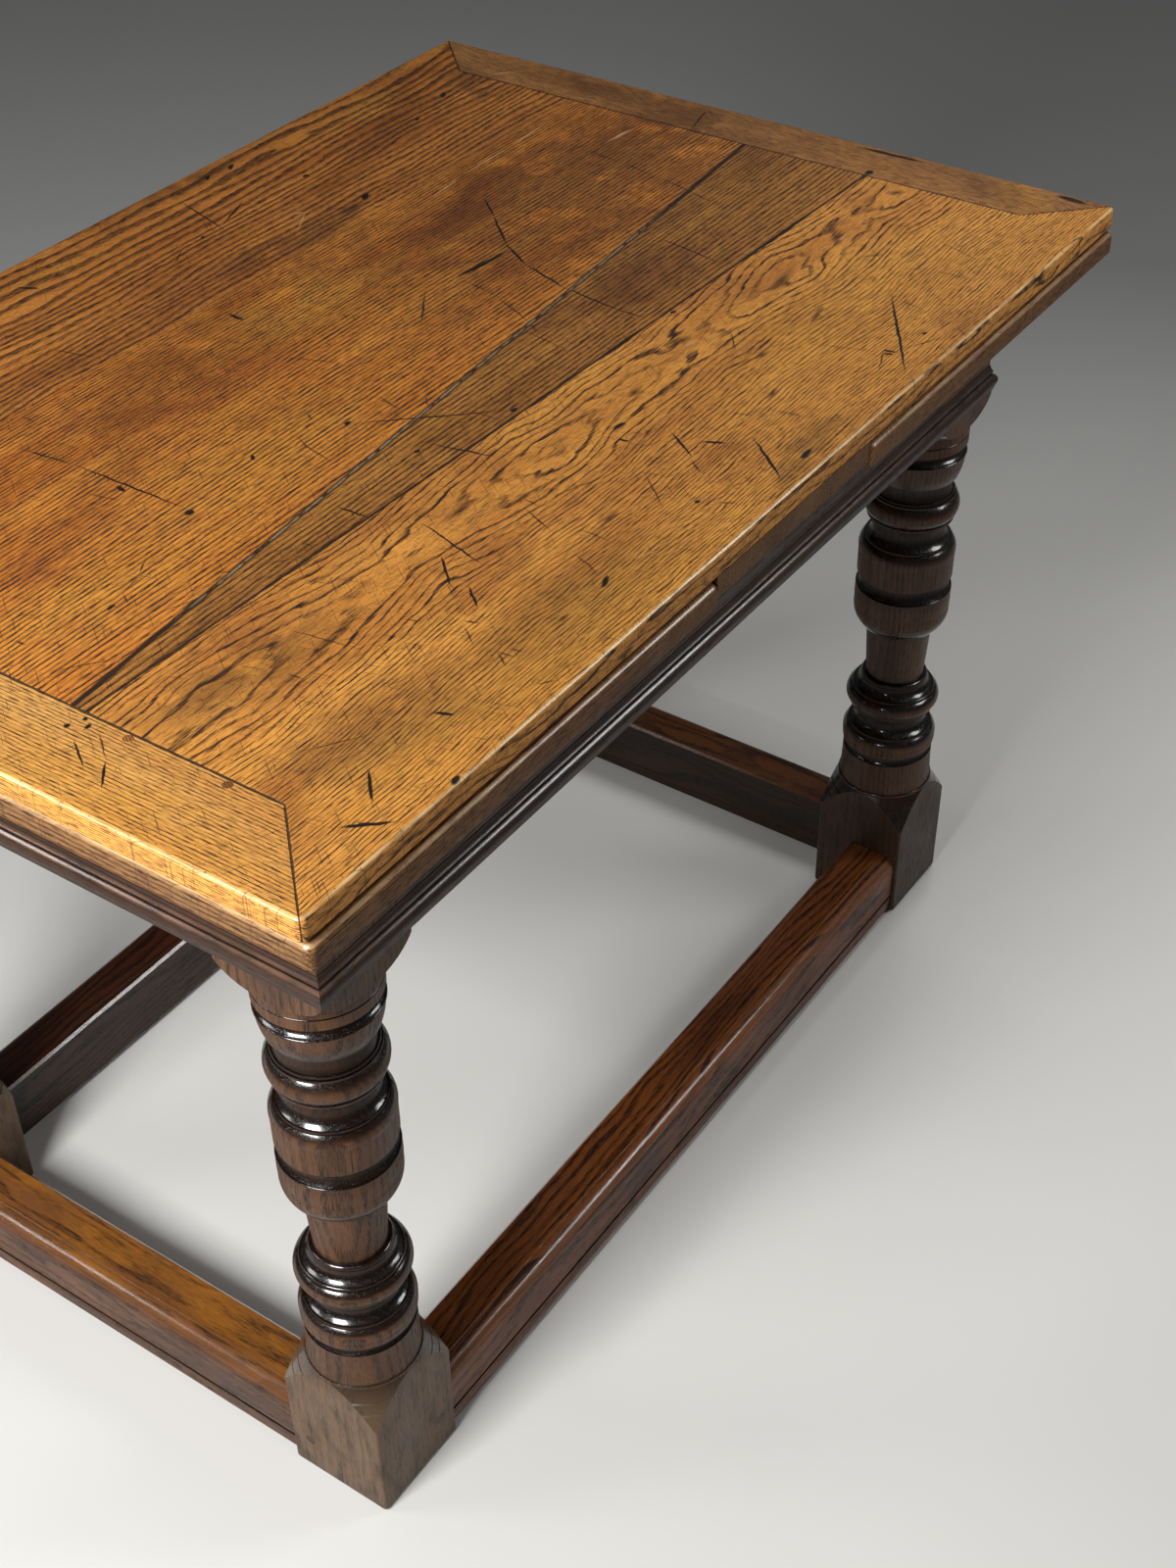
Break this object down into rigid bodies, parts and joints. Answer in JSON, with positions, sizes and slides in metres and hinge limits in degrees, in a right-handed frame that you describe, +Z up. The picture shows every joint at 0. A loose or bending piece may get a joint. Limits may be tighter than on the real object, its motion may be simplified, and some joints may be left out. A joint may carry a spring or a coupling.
{
  "type": "draw-leaf refectory table",
  "caption": "Oak draw-leaf refectory table with a loose clamped top over sliding leaves, a moulded frieze, turned legs with square blocks and a low box of stretchers.",
  "frame": {"origin": "on the floor under the middle of the top, with the leaves pushed in", "axes": "+X along the length towards the east leaf, +Y across towards the back, +Z up"},
  "size_m": [1.136, 0.762, 0.77],
  "materials": {
    "top_oak": "waxed and worn",
    "leaf_oak": "waxed and worn",
    "runner_oak": "bare, rubbed",
    "frieze_oak": "dark wax",
    "moulding_oak": "dark polish",
    "leg_oak": "dark polish",
    "stretcher_oak": "rubbed polish",
    "peg_oak": "waxed"
  },
  "bodies": {
    "frame": {"west_front_leg": "leg_oak", "east_front_leg": "leg_oak", "west_back_leg": "leg_oak", "east_back_leg": "leg_oak", "front_frieze_rail": "frieze_oak", "back_frieze_rail": "frieze_oak", "west_frieze_rail": "frieze_oak", "east_frieze_rail": "frieze_oak", "front_frieze_moulding": "moulding_oak", "back_frieze_moulding": "moulding_oak", "west_frieze_moulding": "moulding_oak", "east_frieze_moulding": "moulding_oak", "front_stretcher": "stretcher_oak", "back_stretcher": "stretcher_oak", "west_stretcher": "stretcher_oak", "east_stretcher": "stretcher_oak", "centre_board": "frieze_oak", "centre_board_pegs": "peg_oak", "rail_tenon_pins": "peg_oak", "stretcher_tenon_pins": "peg_oak"},
    "east_leaf": {"east_leaf_front_board": "leaf_oak", "east_leaf_middle_board": "leaf_oak", "east_leaf_back_board": "leaf_oak", "east_leaf_outer_clamp": "leaf_oak", "east_leaf_inner_clamp": "leaf_oak", "east_leaf_front_runner": "runner_oak", "east_leaf_back_runner": "runner_oak", "east_leaf_clamp_pins": "peg_oak", "east_leaf_runner_pegs": "peg_oak", "east_leaf_stop_pegs": "peg_oak"},
    "west_leaf": {"west_leaf_front_board": "leaf_oak", "west_leaf_middle_board": "leaf_oak", "west_leaf_back_board": "leaf_oak", "west_leaf_outer_clamp": "leaf_oak", "west_leaf_inner_clamp": "leaf_oak", "west_leaf_front_runner": "runner_oak", "west_leaf_back_runner": "runner_oak", "west_leaf_clamp_pins": "peg_oak", "west_leaf_runner_pegs": "peg_oak", "west_leaf_stop_pegs": "peg_oak"},
    "guide_pegs": {"guide_pegs": "peg_oak"},
    "top": {"top_front_board": "top_oak", "top_wedge_board": "top_oak", "top_middle_board": "top_oak", "top_back_board": "top_oak", "top_west_clamp": "top_oak", "top_east_clamp": "top_oak", "top_clamp_pins": "peg_oak"}
  },
  "joints": [
    {"name": "east_leaf_draw", "type": "slide", "parent": "frame", "child": "east_leaf", "axis": [0.9988, 0, 0.0485], "range_m": [0, 0.4415]},
    {"name": "west_leaf_draw", "type": "slide", "parent": "frame", "child": "west_leaf", "axis": [-0.9988, 0, 0.0485], "range_m": [0, 0.4415]},
    {"name": "guide_peg_rise", "type": "hinge", "parent": "frame", "child": "guide_pegs", "pos_m": [-0.568, 0, 0.751], "axis": [0, -1, 0], "range_deg": [0, 1.02]},
    {"name": "top_rise", "type": "hinge", "parent": "guide_pegs", "child": "top", "pos_m": [0.568, 0, 0.751], "axis": [0, 1, 0], "range_deg": [0, 1.02]}
  ],
  "couplings": [
    {"joint": "guide_peg_rise", "follows": "east_leaf_draw", "rad_per_m": 0.04},
    {"joint": "top_rise", "follows": "west_leaf_draw", "rad_per_m": 0.04}
  ]
}
